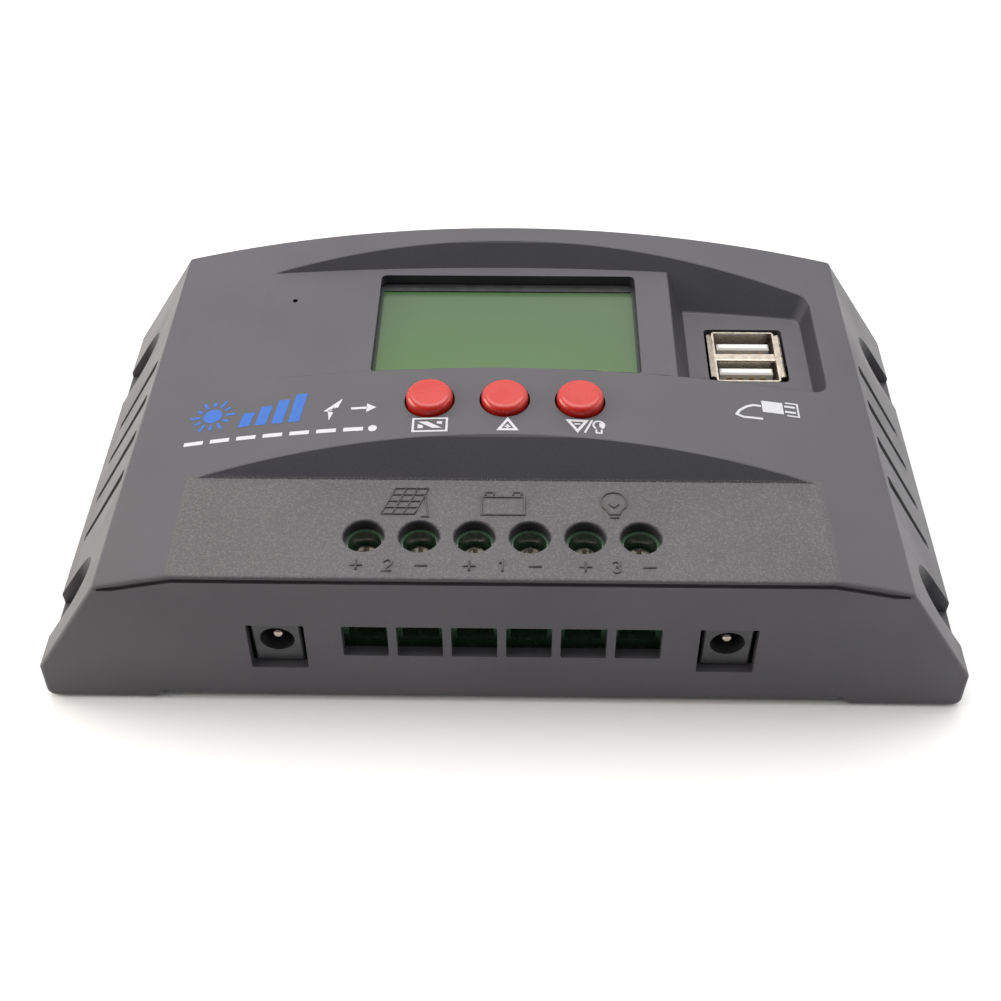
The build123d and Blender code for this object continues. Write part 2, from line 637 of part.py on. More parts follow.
for number in range(3):
    button_x = (number - 1) * BUTTON_PITCH
    with BuildPart() as cap:
        with Locations((button_x, y_at(BUTTON_Y), PLUNGER_TOP)):
            Cylinder(2.1, CAP_FLANGE_TOP - PLUNGER_TOP, align=ALIGN_UP)
        with Locations((button_x, y_at(BUTTON_Y), CAP_FLANGE_TOP - CAP_FLANGE_T)):
            Cylinder(CAP_FLANGE_R, CAP_FLANGE_T, align=ALIGN_UP)
            Cylinder(CAP_R, CAP_TOP - CAP_FLANGE_TOP + CAP_FLANGE_T, align=ALIGN_UP)
        rim = cap.edges().filter_by(GeomType.CIRCLE).sort_by(Axis.Z)[-1]
        fillet(rim, CAP_ROUND)
    save(cap, f"button_cap_{number + 1}")
    with BuildPart() as plunger:
        with Locations((button_x, y_at(BUTTON_Y), DISPLAY_BOARD_TOP + 2.2)):
            Cylinder(PLUNGER_R, PLUNGER_TOP - DISPLAY_BOARD_TOP - 2.2, align=ALIGN_UP)
        chamfer(plunger.edges().filter_by(GeomType.CIRCLE).sort_by(Axis.Z)[-1], 0.2)
    save(plunger, f"switch_plunger_{number + 1}")

# ---------------------------------------------------------------- terminals
CAVITY_FRONT = 9.7
CAVITY_BACK = 19.0
CAVITY_HALF = CAGE_W / 2 + 0.25
ENTRY_W = 6.8
ENTRY_H = 6.9
POLES_PER_BLOCK = 2

for block in range(POLES // POLES_PER_BLOCK):
    first = block * POLES_PER_BLOCK
    block_x = (pole_x(first) + pole_x(first + 1)) / 2
    block_poles = [pole_x(first), pole_x(first + 1)]
    with BuildPart() as terminal_block:
        with Locations((block_x, y_at((BLOCK_FRONT + BLOCK_BACK) / 2), BOARD_TOP)):
            Box(BLOCK_W, BLOCK_BACK - BLOCK_FRONT, BLOCK_TOP - BOARD_TOP, align=ALIGN_UP)
        chamfer(terminal_block.edges().filter_by(Axis.X).sort_by(Axis.Z)[-2:], 0.8)
        for x in block_poles:
            with Locations((x, y_at(POLE_Y), BLOCK_TOP)):
                Cylinder(WELL_R, 2 * (BLOCK_TOP - SCREW_HEAD_BOTTOM + 0.05), mode=Mode.SUBTRACT)
                Cylinder(SCREW_SHANK_R + 0.25, 16, mode=Mode.SUBTRACT)
            with Locations((x, y_at(CAVITY_FRONT), BOARD_TOP)):
                Box(
                    2 * CAVITY_HALF,
                    CAVITY_BACK - CAVITY_FRONT,
                    SHELF_BOTTOM - BOARD_TOP,
                    align=(Align.CENTER, Align.MIN, Align.MIN),
                    mode=Mode.SUBTRACT,
                )
            with Locations((x, y_at(BLOCK_FRONT), WIRE_WINDOW_Z)):
                Box(ENTRY_W, 2 * (CAVITY_FRONT - BLOCK_FRONT + 0.1), ENTRY_H, mode=Mode.SUBTRACT)
    save(terminal_block, f"terminal_block_{block + 1}")

with BuildPart() as contacts:
    for number in range(POLES):
        x = pole_x(number)
        with Locations((x, y_at(10.2), BAR_TOP - BAR_T)):
            Box(5.2, 8.4, BAR_T, align=(Align.CENTER, Align.MIN, Align.MIN))
        with Locations((x, y_at(17.5), BOARD_TOP)):
            Box(5.2, 1.1, BAR_TOP - BOARD_TOP, align=(Align.CENTER, Align.MIN, Align.MIN))
        with Locations(
            (x - 1.6, y_at(PIN_Y), BOARD_BOTTOM - 1.6),
            (x + 1.6, y_at(PIN_Y), BOARD_BOTTOM - 1.6),
        ):
            Cylinder(PIN_R - 0.1, BOARD_TOP - BOARD_BOTTOM + 1.7, align=ALIGN_UP)
save(contacts, "terminal_contacts")

for number in range(POLES):
    x = pole_x(number)
    with BuildPart() as screw:
        with Locations((x, y_at(POLE_Y), SCREW_TIP)):
            Cylinder(SCREW_SHANK_R, SCREW_HEAD_BOTTOM - SCREW_TIP + 0.1, align=ALIGN_UP)
        with Locations((x, y_at(POLE_Y), SCREW_HEAD_BOTTOM)):
            Cylinder(SCREW_HEAD_R, SCREW_HEAD_TOP - SCREW_HEAD_BOTTOM, align=ALIGN_UP)
        fillet(screw.edges().filter_by(GeomType.CIRCLE).sort_by(Axis.Z)[-1], 0.8)
        chamfer(screw.edges().filter_by(GeomType.CIRCLE).sort_by(Axis.Z)[0], 0.3)
        with Locations((x, y_at(POLE_Y), SCREW_HEAD_TOP)):
            Box(6.0, 0.9, 2.2, mode=Mode.SUBTRACT)
            Box(0.9, 3.6, 2.2, mode=Mode.SUBTRACT)
    save(screw, f"terminal_screw_{number + 1}")
    with BuildPart() as cage:
        with Locations((x, y_at(POLE_Y), CAGE_BOTTOM)):
            Box(CAGE_W, CAGE_D, CAGE_TOP - CAGE_BOTTOM, align=ALIGN_UP)
        fillet(cage.edges().filter_by(Axis.Y), 0.8)
        with Locations((x, y_at(POLE_Y), CAGE_BOTTOM + CAGE_T)):
            Box(
                CAGE_W - 1.8,
                CAGE_D + 1,
                CAGE_TOP - CAGE_BOTTOM - CAGE_T - 1.6,
                align=ALIGN_UP,
                mode=Mode.SUBTRACT,
            )
        with Locations((x, y_at(POLE_Y), CAGE_TOP)):
            Cylinder(SCREW_SHANK_R + 0.08, 6, mode=Mode.SUBTRACT)
    save(cage, f"clamp_cage_{number + 1}")

# ---------------------------------------------------------------- barrel jacks
JACK_W = 9.0
JACK_H = 10.8
JACK_FRONT = 2.5
JACK_FLANGE_D = 3.3
JACK_D = 14.2
JACK_AXIS_Z = BOARD_TOP + 6.5
JACK_HOLE_R = 3.2
JACK_HOLE_D = 9.6
JACK_PIN_R = 1.0
JACK_PIN_ROOT_R = 1.3
JACK_PIN_SETBACK = 0.9

for name, x in (("left", -JACK_X), ("right", JACK_X)):
    jack_face = Plane.XZ.offset(-y_at(JACK_FRONT))
    with BuildPart() as jack:
        with BuildSketch(jack_face):
            with Locations((x, BOARD_TOP + JACK_H / 2)):
                Rectangle(JACK_W, JACK_H)
        extrude(amount=-JACK_FLANGE_D)
        chamfer(jack.faces().sort_by(Axis.Y)[0].edges(), 0.3)
        with BuildSketch(jack_face.offset(-JACK_FLANGE_D)):
            with Locations((x, JACK_AXIS_Z)):
                Circle(JACK_W / 2 - 0.2)
            with Locations((x, (BOARD_TOP + JACK_AXIS_Z) / 2)):
                Rectangle(JACK_W - 0.4, JACK_AXIS_Z - BOARD_TOP)
        extrude(amount=-(JACK_D - JACK_FLANGE_D))
        with BuildSketch(jack_face):
            with Locations((x, JACK_AXIS_Z)):
                Circle(JACK_HOLE_R)
        extrude(amount=-JACK_HOLE_D, mode=Mode.SUBTRACT)
        with BuildSketch(jack_face.offset(-JACK_HOLE_D)):
            with Locations((x, JACK_AXIS_Z)):
                Circle(JACK_PIN_ROOT_R)
        extrude(amount=-JACK_D, mode=Mode.SUBTRACT)
    save(jack, f"dc_jack_{name}")
    with BuildPart() as pin:
        with BuildSketch(jack_face.offset(-JACK_PIN_SETBACK)):
            with Locations((x, JACK_AXIS_Z)):
                Circle(JACK_PIN_R)
        extrude(amount=-(JACK_HOLE_D - JACK_PIN_SETBACK))
        with BuildSketch(jack_face.offset(-JACK_HOLE_D)):
            with Locations((x, JACK_AXIS_Z)):
                Circle(JACK_PIN_ROOT_R)
        extrude(amount=-(JACK_D - JACK_HOLE_D))
        fillet(pin.edges().sort_by(Axis.Y)[0], 0.6)
    save(pin, f"dc_pin_{name}")

with BuildPart() as jack_springs:
    for x in (-JACK_X, JACK_X):
        with Locations((x, y_at(JACK_FRONT + 4.5), JACK_AXIS_Z - JACK_HOLE_R + 0.4)):
            Box(2.0, 4.8, 0.3, align=(Align.CENTER, Align.MIN, Align.CENTER))
save(jack_springs, "jack_springs")

# ---------------------------------------------------------------- double USB socket
USB_W = 13.2
USB_D = 15.6
USB_T = 0.4
USB_TOP = 27.4
USB_BASE_TOP = 14.6
DIVIDER_FRONT = 67.8
DIVIDER_D = 2.6
TONGUE_FRONT = (64.7, 72.5)
TONGUE_W = 11.0
TONGUE_D = 1.9
TONGUE_TOP = 26.2
CONTACT_PITCH = 2.3

with BuildPart() as usb_shell:
    with Locations((USB_X, y_at(USB_Y), BOARD_TOP)):
        Box(USB_W, USB_D, USB_TOP - BOARD_TOP, align=ALIGN_UP)
    fillet(usb_shell.edges().filter_by(Axis.Z), 0.7)
    with Locations((USB_X, y_at(USB_Y), BOARD_TOP + 0.01)):
        Box(USB_W - 2 * USB_T, USB_D - 2 * USB_T, USB_TOP, align=ALIGN_UP, mode=Mode.SUBTRACT)
    # folded divider between the two ports
    with Locations((USB_X, y_at(DIVIDER_FRONT), USB_BASE_TOP)):
        Box(
            USB_W - 0.6,
            DIVIDER_D,
            USB_TOP - 0.4 - USB_BASE_TOP,
            align=(Align.CENTER, Align.MIN, Align.MIN),
        )
    fillet(
        usb_shell.edges().filter_by(Axis.X).filter_by(
            lambda edge: abs(edge.center().Z - USB_TOP + 0.4) < 0.01
            and abs(edge.center().Y - y_at(DIVIDER_FRONT + DIVIDER_D / 2)) < DIVIDER_D
        ),
        0.5,
    )
    with Locations((USB_X, y_at(DIVIDER_FRONT + USB_T), USB_BASE_TOP)):
        Box(
            USB_W - 0.9,
            DIVIDER_D - 2 * USB_T,
            USB_TOP - 1.4 - USB_BASE_TOP,
            align=(Align.CENTER, Align.MIN, Align.MIN),
            mode=Mode.SUBTRACT,
        )
    # flared lips along both short sides
    with BuildSketch(Plane.XZ.offset(-y_at(USB_Y))):
        for side in (-1, 1):
            edge_x = USB_X + side * USB_W / 2
            with BuildLine():
                Polyline(
                    (edge_x - side * USB_T, USB_TOP - 1.6),
                    (edge_x, USB_TOP - 1.9),
                    (edge_x + side * 1.1, USB_TOP + 0.1),
                    (edge_x + side * 0.75, USB_TOP + 0.3),
                    (edge_x - side * USB_T, USB_TOP - 0.2),
                    close=True,
                )
            make_face()
    extrude(amount=USB_D / 2 - 1.2, both=True)
save(usb_shell, "usb_shell")

with BuildPart() as usb_insulator:
    with Locations((USB_X, y_at(USB_Y), BOARD_TOP + 0.3)):
        Box(USB_W - 1.0, USB_D - 1.0, USB_BASE_TOP - BOARD_TOP - 0.4, align=ALIGN_UP)
    for front in TONGUE_FRONT:
        with Locations((USB_X, y_at(front), USB_BASE_TOP - 1)):
            Box(
                TONGUE_W,
                TONGUE_D,
                TONGUE_TOP - USB_BASE_TOP + 1,
                align=(Align.CENTER, Align.MIN, Align.MIN),
            )
    tips = usb_insulator.edges().filter_by(lambda edge: abs(edge.center().Z - TONGUE_TOP) < 0.01)
    chamfer(tips, 0.35)
save(usb_insulator, "usb_insulator")

with BuildPart() as usb_contacts:
    for front in TONGUE_FRONT:
        with Locations((USB_X, y_at(front) - 0.15, USB_BASE_TOP + 0.1)):
            with GridLocations(CONTACT_PITCH, 1, 4, 1):
                Box(1.1, 0.3, TONGUE_TOP - USB_BASE_TOP - 1.2, align=ALIGN_UP)
save(usb_contacts, "usb_contacts")

# ---------------------------------------------------------------- power stage
SINK_PLATE_X = -60.0
SINK_FRONT = 34.0
SINK_BACK = 88.0
SINK_TOP = 27.2
SINK_PLATE_T = 2.2
FIN_T = 1.2
FIN_L = 6.6
FINS = 5
PAD_T = 0.3
TAB_T = 1.3
SINK_SCREW_Z = 24.6
MOSFET_Y = (40.0, 53.5, 67.0, 80.5)
MOSFET_BASE_Z = 13.0
MOSFET_BODY_H = 9.0

with BuildPart() as heat_sink:
    with BuildSketch(Plane.XZ.offset(-y_at(SINK_FRONT))):
        with Locations((SINK_PLATE_X - SINK_PLATE_T / 2, (BOARD_TOP + SINK_TOP) / 2)):
            Rectangle(SINK_PLATE_T, SINK_TOP - BOARD_TOP)
        fin_pitch = (SINK_TOP - BOARD_TOP - FIN_T) / (FINS - 1)
        with Locations((SINK_PLATE_X - SINK_PLATE_T - FIN_L / 2, (BOARD_TOP + SINK_TOP) / 2)):
            with GridLocations(1, fin_pitch, 1, FINS):
                Rectangle(FIN_L + 0.2, FIN_T)
    extrude(amount=-(SINK_BACK - SINK_FRONT))
    with Locations(*[Location((SINK_PLATE_X, y_at(y), SINK_SCREW_Z), (0, 90, 0)) for y in MOSFET_Y]):
        Cylinder(1.35, 3 * SINK_PLATE_T, mode=Mode.SUBTRACT)
save(heat_sink, "heat_sink")

with BuildPart() as insulating_pad:
    with Locations((SINK_PLATE_X, y_at((SINK_FRONT + SINK_BACK) / 2), 11.5)):
        Box(PAD_T, 52, 15.4, align=(Align.MIN, Align.CENTER, Align.MIN))
    with Locations(*[Location((SINK_PLATE_X, y_at(y), SINK_SCREW_Z), (0, 90, 0)) for y in MOSFET_Y]):
        Cylinder(1.5, 4, mode=Mode.SUBTRACT)
save(insulating_pad, "insulating_pad")

with BuildPart() as mosfet_tabs:
    for y in MOSFET_Y:
        with Locations((SINK_PLATE_X + PAD_T, y_at(y), MOSFET_BASE_Z)):
            Box(TAB_T, 10.0, 14.0, align=(Align.MIN, Align.CENTER, Align.MIN))
        with Locations((SINK_PLATE_X + PAD_T + 2.4, y_at(y), BOARD_TOP)):
            with GridLocations(1, 2.54, 1, 3):
                Box(0.5, 0.8, MOSFET_BASE_Z - BOARD_TOP, align=ALIGN_UP)
    with Locations(*[Location((SINK_PLATE_X, y_at(y), SINK_SCREW_Z), (0, 90, 0)) for y in MOSFET_Y]):
        Cylinder(1.8, 6, mode=Mode.SUBTRACT)
save(mosfet_tabs, "mosfet_tabs")

with BuildPart() as mosfets:
    for y in MOSFET_Y:
        with Locations((SINK_PLATE_X + PAD_T + TAB_T, y_at(y), MOSFET_BASE_Z)):
            Box(3.1, 10.0, MOSFET_BODY_H, align=(Align.MIN, Align.CENTER, Align.MIN))
    chamfer(mosfets.faces().sort_by(Axis.X)[-4:].edges(), 0.4)
save(mosfets, "mosfets")

with BuildPart() as sink_screws:
    for y in MOSFET_Y:
        head = Plane(origin=(SINK_PLATE_X + PAD_T + TAB_T, y_at(y), SINK_SCREW_Z), z_dir=(1, 0, 0))
        with BuildSketch(head):
            Circle(2.2)
        extrude(amount=1.6, taper=10)
        with BuildSketch(head):
            Circle(1.25)
        extrude(amount=-(PAD_T + TAB_T + SINK_PLATE_T + 1.0))
        with BuildSketch(head.offset(1.6)):
            Rectangle(2.4, 0.5)
            Rectangle(0.5, 2.4)
        extrude(amount=-1.0, mode=Mode.SUBTRACT)
save(sink_screws, "sink_screws")

TOROID = (-30.0, 70.0)
CORE_R = 11.0
CORE_HOLE_R = 5.8
CORE_H = 8.0
CORE_Z = BOARD_TOP + 1.6
TURNS = 18
WIRE_D = 1.1

with BuildPart() as inductor_core:
    with Locations((TOROID[0], y_at(TOROID[1]), CORE_Z)):
        Cylinder(CORE_R, CORE_H, align=ALIGN_UP)
        Cylinder(CORE_HOLE_R, CORE_H, align=ALIGN_UP, mode=Mode.SUBTRACT)
    fillet(inductor_core.edges().filter_by(GeomType.CIRCLE), 0.8)
save(inductor_core, "inductor_core")

with BuildPart() as winding:
    mid_r = (CORE_R + CORE_HOLE_R) / 2
    span_r = CORE_R - CORE_HOLE_R + 0.1
    with Locations((TOROID[0], y_at(TOROID[1]), CORE_Z + CORE_H / 2)):
        with PolarLocations(mid_r, TURNS):
            Box(span_r + 2 * WIRE_D, WIRE_D, CORE_H + 0.1 + 2 * WIRE_D)
    fillet(winding.edges().filter_by(lambda edge: abs(edge.length - WIRE_D) < 0.01), 1.0)
    with Locations((TOROID[0], y_at(TOROID[1]), CORE_Z + CORE_H / 2)):
        with PolarLocations(mid_r, TURNS):
            Box(span_r, 2 * WIRE_D, CORE_H + 0.1, mode=Mode.SUBTRACT)
save(winding, "inductor_winding")

# each capacitor: x, distance from the front, radius, height
CAPACITORS = (
    (4.0, 66.0, 5.0, 12.5),
    (16.5, 66.0, 5.0, 12.5),
    (4.0, 80.0, 5.0, 12.5),
    (16.5, 80.0, 5.0, 12.5),
    (62.5, 34.5, 5.0, 16.0),
    (62.5, 45.5, 5.0, 16.0),
)
with BuildPart() as capacitors:
    for x, y, radius, height in CAPACITORS:
        with BuildSketch(Plane.XZ.offset(-y_at(y))):
            with BuildLine():
                Polyline(
                    (x, BOARD_TOP),
                    (x + radius, BOARD_TOP),
                    (x + radius, BOARD_TOP + 1.4),
                    (x + radius - 0.5, BOARD_TOP + 2.0),
                    (x + radius, BOARD_TOP + 2.6),
                    (x + radius, BOARD_TOP + height - 0.5),
                    (x + radius - 0.5, BOARD_TOP + height),
                    (x, BOARD_TOP + height),
                    close=True,
                )
            make_face()
        revolve(axis=Axis((x, y_at(y), 0), (0, 0, 1)))
        with Locations((x, y_at(y), BOARD_TOP + height)):
            Box(radius, 0.4, 0.5, mode=Mode.SUBTRACT)
            Box(0.4, radius, 0.5, mode=Mode.SUBTRACT)
save(capacitors, "capacitors")

FUSE = (46.0, 38.0)
with BuildPart() as fuse_holder:
    with Locations((FUSE[0], y_at(FUSE[1]), BOARD_TOP)):
        Box(7.0, 17.0, 8.0, align=ALIGN_UP)
        Box(4.2, 11.4, 8.0, align=ALIGN_UP, mode=Mode.SUBTRACT)
    fillet(fuse_holder.edges().filter_by(Axis.Z).sort_by(Axis.Y)[:2], 1)
save(fuse_holder, "fuse_holder")

with BuildPart() as blade_fuse:
    with Locations((FUSE[0], y_at(FUSE[1]), BOARD_TOP + 5)):
        Box(3.6, 10.9, 9.0, align=ALIGN_UP)
    fillet(blade_fuse.edges().filter_by(Axis.X).sort_by(Axis.Z)[-2:], 1.2)
save(blade_fuse, "blade_fuse")

with BuildPart() as fuse_blades:
    with Locations((FUSE[0], y_at(FUSE[1]), BOARD_TOP)):
        with GridLocations(1, 8.1, 1, 2):
            Box(0.8, 2.8, 5.0, align=ALIGN_UP)
save(fuse_blades, "fuse_blades")

# each chip: x, distance from the front, width, depth
CHIPS = ((-15.0, 44.0, 7.0, 7.0), (2.0, 46.0, 5.0, 6.0), (18.0, 46.0, 5.0, 6.0), (-38.0, 46.0, 5.0, 4.0))
with BuildPart() as chips:
    for x, y, width, depth in CHIPS:
        with Locations((x, y_at(y), BOARD_TOP)):
            Box(width, depth, 1.5, align=ALIGN_UP)
    chamfer(chips.faces().sort_by(Axis.Z)[-len(CHIPS):].edges(), 0.2)
save(chips, "control_chips")

with BuildPart() as buzzer:
    with Locations((PINHOLE_X + 0.2, y_at(PINHOLE_Y), DISPLAY_BOARD_TOP)):
        Cylinder(4.5, 5.4, align=ALIGN_UP)
    fillet(buzzer.edges().sort_by(Axis.Z)[-1], 0.6)
    with Locations((PINHOLE_X, y_at(PINHOLE_Y), DISPLAY_BOARD_TOP + 5.4)):
        Cylinder(0.9, 2, mode=Mode.SUBTRACT)
save(buzzer, "buzzer")
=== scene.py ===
"""The charge controller's looks: materials, printed marks, moulded symbols, light and camera."""

import json
import math

import bpy
from mathutils import Matrix, Vector
from mathutils.bvhtree import BVHTree


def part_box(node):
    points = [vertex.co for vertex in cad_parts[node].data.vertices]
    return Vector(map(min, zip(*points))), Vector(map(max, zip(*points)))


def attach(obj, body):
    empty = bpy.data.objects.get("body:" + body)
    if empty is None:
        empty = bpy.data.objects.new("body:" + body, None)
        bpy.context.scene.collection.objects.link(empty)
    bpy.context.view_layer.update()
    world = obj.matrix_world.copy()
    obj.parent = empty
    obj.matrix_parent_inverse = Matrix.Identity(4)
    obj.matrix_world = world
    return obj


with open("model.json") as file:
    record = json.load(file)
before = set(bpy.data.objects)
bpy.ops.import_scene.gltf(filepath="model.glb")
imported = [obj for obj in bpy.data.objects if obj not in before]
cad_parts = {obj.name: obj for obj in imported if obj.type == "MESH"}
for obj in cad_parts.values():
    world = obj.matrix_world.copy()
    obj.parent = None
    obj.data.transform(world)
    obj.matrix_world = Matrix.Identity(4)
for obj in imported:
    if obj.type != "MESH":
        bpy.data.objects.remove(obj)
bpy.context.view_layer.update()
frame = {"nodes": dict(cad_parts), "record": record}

MM = 0.001

HOUSING_LOW, HOUSING_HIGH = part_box("top_housing")
FRONT = HOUSING_LOW.y
DECK_Z = 0.0323
DECK_END = FRONT + 0.0273
DECK_SKIN_BELOW = 2e-4
DECK_SKIN_ABOVE = 3e-4
DECK_END_SLACK = 5e-4
RECESS_HALF = 0.0600
WALL_START = FRONT + 0.012
WALL_STOP = FRONT + 0.100
WALL_LOW = 0.0280
WALL_HIGH = 0.0372
WALL_HALF = 0.0715
WALL_SHADE_STRENGTH = 0.75
STEEP_Z = 0.80
LEVEL_Z = 0.97
RAY_CLEARANCE = 0.01

CASE_GREY = (0.073, 0.069, 0.077)
CASE_CLOUD = (0.062, 0.059, 0.066)
CASE_FLECK = (0.15, 0.148, 0.155)
DECK_GREY = (0.076, 0.071, 0.075)
DECK_SPECKLE = (0.17, 0.16, 0.158)
WALL_PAINTED_SHADE = (0.013, 0.0125, 0.0185)
PRINT_WHITE = (0.52, 0.52, 0.55)
PRINT_BLUE = (0.012, 0.105, 0.42)

ROOM_FRONT = 0.05
ROOM_BACK = 1.2
ROOM_FADE_START = -0.9
ROOM_FADE_END = 0.3
LIGHT_AIM = (0.0, 0.0, 0.02)
OVERHEAD_PLACE = (0.0, 0.22, 0.68)
OVERHEAD_SIZE = (0.8, 0.6)
LEFT_PLACE = (-0.6, 0.02, 0.22)
RIGHT_PLACE = (0.6, 0.02, 0.22)
SIDE_SIZE = (0.5, 0.3)
OVERHEAD_WATTS = 4.0
LEFT_WATTS = 2.6
RIGHT_WATTS = 0.5
WARM = (1.0, 0.90, 0.78)
FLOOR_HALF = 3.0
FLOOR_DROP = 0.0002


# ---------------------------------------------------------------- materials


class Surface:
    """One procedural material, built up from small layers over object coordinates."""

    def __init__(self, name, colour, roughness, metallic=0.0, **settings):
        self.material = bpy.data.materials.new(name)
        self.material.use_nodes = True
        self.nodes = self.material.node_tree.nodes
        self.links = self.material.node_tree.links
        self.shader = self.nodes["Principled BSDF"]
        self.shader.inputs["Base Color"].default_value = (*colour, 1.0)
        self.shader.inputs["Roughness"].default_value = roughness
        self.shader.inputs["Metallic"].default_value = metallic
        for key, value in settings.items():
            self.shader.inputs[key.replace("_", " ")].default_value = value
        self.place = self.nodes.new("ShaderNodeTexCoord").outputs["Object"]
        self.colour = None
        self.base = colour

    def node(self, kind, **settings):
        made = self.nodes.new(kind)
        for key, value in settings.items():
            setattr(made, key, value)
        return made

    def noise(self, scale, detail=3.0, rough=0.55, stretch=(1.0, 1.0, 1.0)):
        """Noise with grains about 1/scale metres across."""
        mapping = self.node("ShaderNodeMapping")
        mapping.inputs["Scale"].default_value = stretch
        self.links.new(self.place, mapping.inputs["Vector"])
        noise = self.node("ShaderNodeTexNoise")
        noise.inputs["Scale"].default_value = scale
        noise.inputs["Detail"].default_value = detail
        noise.inputs["Roughness"].default_value = rough
        self.links.new(mapping.outputs["Vector"], noise.inputs["Vector"])
        return noise.outputs["Fac"]

    def ramp(self, value, low, high, start=0.0, end=1.0):
        """value carried from start..end in its own range to low..high."""
        made = self.node("ShaderNodeMapRange")
        made.inputs["From Min"].default_value = start
        made.inputs["From Max"].default_value = end
        made.inputs["To Min"].default_value = low
        made.inputs["To Max"].default_value = high
        self.links.new(value, made.inputs["Value"])
        return made.outputs["Result"]

    def blend_colour(self, factor, colour):
        """Paints colour over what is there, as strongly as factor says."""
        mix = self.node("ShaderNodeMix", data_type="RGBA")
        self.links.new(factor, mix.inputs["Factor"])
        if self.colour is None:
            mix.inputs["A"].default_value = (*self.base, 1.0)
        else:
            self.links.new(self.colour, mix.inputs["A"])
        mix.inputs["B"].default_value = (*colour, 1.0)
        self.colour = mix.outputs["Result"]
        self.links.new(self.colour, self.shader.inputs["Base Color"])
        return self

    def mottle(self, scale, colour, amount=0.5, **noise):
        """Soft cloudy variation towards colour."""
        cloud = self.ramp(self.noise(scale, **noise), 0.0, amount, 0.38, 0.66)
        return self.blend_colour(cloud, colour)

    def vary_gloss(self, scale, low, high, **noise):
        """Roughness that drifts between low and high."""
        patch = self.ramp(self.noise(scale, **noise), low, high, 0.35, 0.65)
        self.links.new(patch, self.shader.inputs["Roughness"])
        return self

    def grain(self, scale, strength, depth, height=None, **noise):
        """Fine relief in the surface. depth is in metres."""
        bump = self.node("ShaderNodeBump")
        bump.inputs["Strength"].default_value = strength
        bump.inputs["Distance"].default_value = depth
        source = self.noise(scale, **noise) if height is None else height
        self.links.new(source, bump.inputs["Height"])
        self.links.new(bump.outputs["Normal"], self.shader.inputs["Normal"])
        return self

    def math(self, operation, first, second=None, third=None):
        made = self.node("ShaderNodeMath", operation=operation)
        for i, value in enumerate((first, second, third)):
            if value is None:
                continue
            if isinstance(value, (int, float)):
                made.inputs[i].default_value = value
            else:
                self.links.new(value, made.inputs[i])
        return made.outputs["Value"]

    def axes(self):
        split = self.node("ShaderNodeSeparateXYZ")
        self.links.new(self.place, split.inputs["Vector"])
        return split.outputs["X"], split.outputs["Y"], split.outputs["Z"]

    def within(self, value, low, high):
        """1 where value lies between low and high, otherwise 0."""
        above = self.math("GREATER_THAN", value, low)
        below = self.math("LESS_THAN", value, high)
        return self.math("MULTIPLY", above, below)


def case_plastic():
    """Satin moulded grey, coarse spark-eroded grain on the terminal deck, and painted shade
    darkening the steep recess walls.
    """
    surface = Surface("case_plastic", CASE_GREY, 0.5, Specular_IOR_Level=0.4)
    x, y, z = surface.axes()
    off_middle = surface.math("ABSOLUTE", x)
    inside = surface.math("LESS_THAN", off_middle, RECESS_HALF)
    level = surface.within(z, DECK_Z - DECK_SKIN_BELOW, DECK_Z + DECK_SKIN_ABOVE)
    deck = surface.math("MULTIPLY", level, inside)
    before_wall = surface.math("LESS_THAN", y, DECK_END + DECK_END_SLACK)
    deck = surface.math("MULTIPLY", deck, before_wall)
    # Painted shade: steep faces of the recess walls, picked out by the tilt of their normals, are
    # painted dark grey to stand in for the shade that falls on them.
    geometry = surface.node("ShaderNodeNewGeometry")
    split = surface.node("ShaderNodeSeparateXYZ")
    surface.links.new(geometry.outputs["Normal"], split.inputs["Vector"])
    tilt = surface.ramp(split.outputs["Z"], 1.0, 0.0, STEEP_Z, LEVEL_Z)
    wall_shade = surface.math("MULTIPLY", surface.within(y, WALL_START, WALL_STOP), tilt)
    wall_shade = surface.math("MULTIPLY", wall_shade, surface.within(z, WALL_LOW, WALL_HIGH))
    wall_shade = surface.math("MULTIPLY", wall_shade, surface.math("LESS_THAN", off_middle, WALL_HALF))
    surface.mottle(45.0, CASE_CLOUD, 0.6)
    surface.blend_colour(deck, DECK_GREY)
    # Lay the painted shade onto the recess walls.
    surface.blend_colour(surface.math("MULTIPLY", wall_shade, WALL_SHADE_STRENGTH), WALL_PAINTED_SHADE)
    speckle = surface.ramp(surface.noise(2800.0, 2.0), 0.0, 0.5, 0.48, 0.72)
    surface.blend_colour(surface.math("MULTIPLY", speckle, deck), DECK_SPECKLE)
    flecks = surface.ramp(surface.noise(4200.0, 1.0), 0.0, 0.10, 0.55, 0.75)
    surface.blend_colour(flecks, CASE_FLECK)
    roughness = surface.ramp(surface.noise(60.0), 0.44, 0.54, 0.35, 0.65)
    rougher = surface.math("MULTIPLY_ADD", deck, 0.10, roughness)
    surface.links.new(rougher, surface.shader.inputs["Roughness"])
    coarse = surface.math("MULTIPLY", surface.noise(1500.0, 2.0), surface.ramp(deck, 0.16, 1.0))
    return surface.grain(0, 0.55, 1.2e-4, height=coarse).material


def cover_plastic():
    surface = Surface("cover_plastic", (0.085, 0.085, 0.09), 0.6)
    surface.mottle(60.0, (0.065, 0.065, 0.07))
    return surface.grain(1800.0, 0.4, 6e-5).material


def steel(name, colour=(0.62, 0.62, 0.63), roughness=0.28):
    """Plated metal with fine drawn marks and a few dull patches."""
    surface = Surface(name, colour, roughness, 1.0)
    surface.mottle(700.0, tuple(0.72 * c for c in colour), 0.7)
    surface.vary_gloss(900.0, roughness * 0.75, roughness * 1.7)
    return surface.grain(2600.0, 0.25, 2e-5, stretch=(1.0, 1.0, 0.15)).material


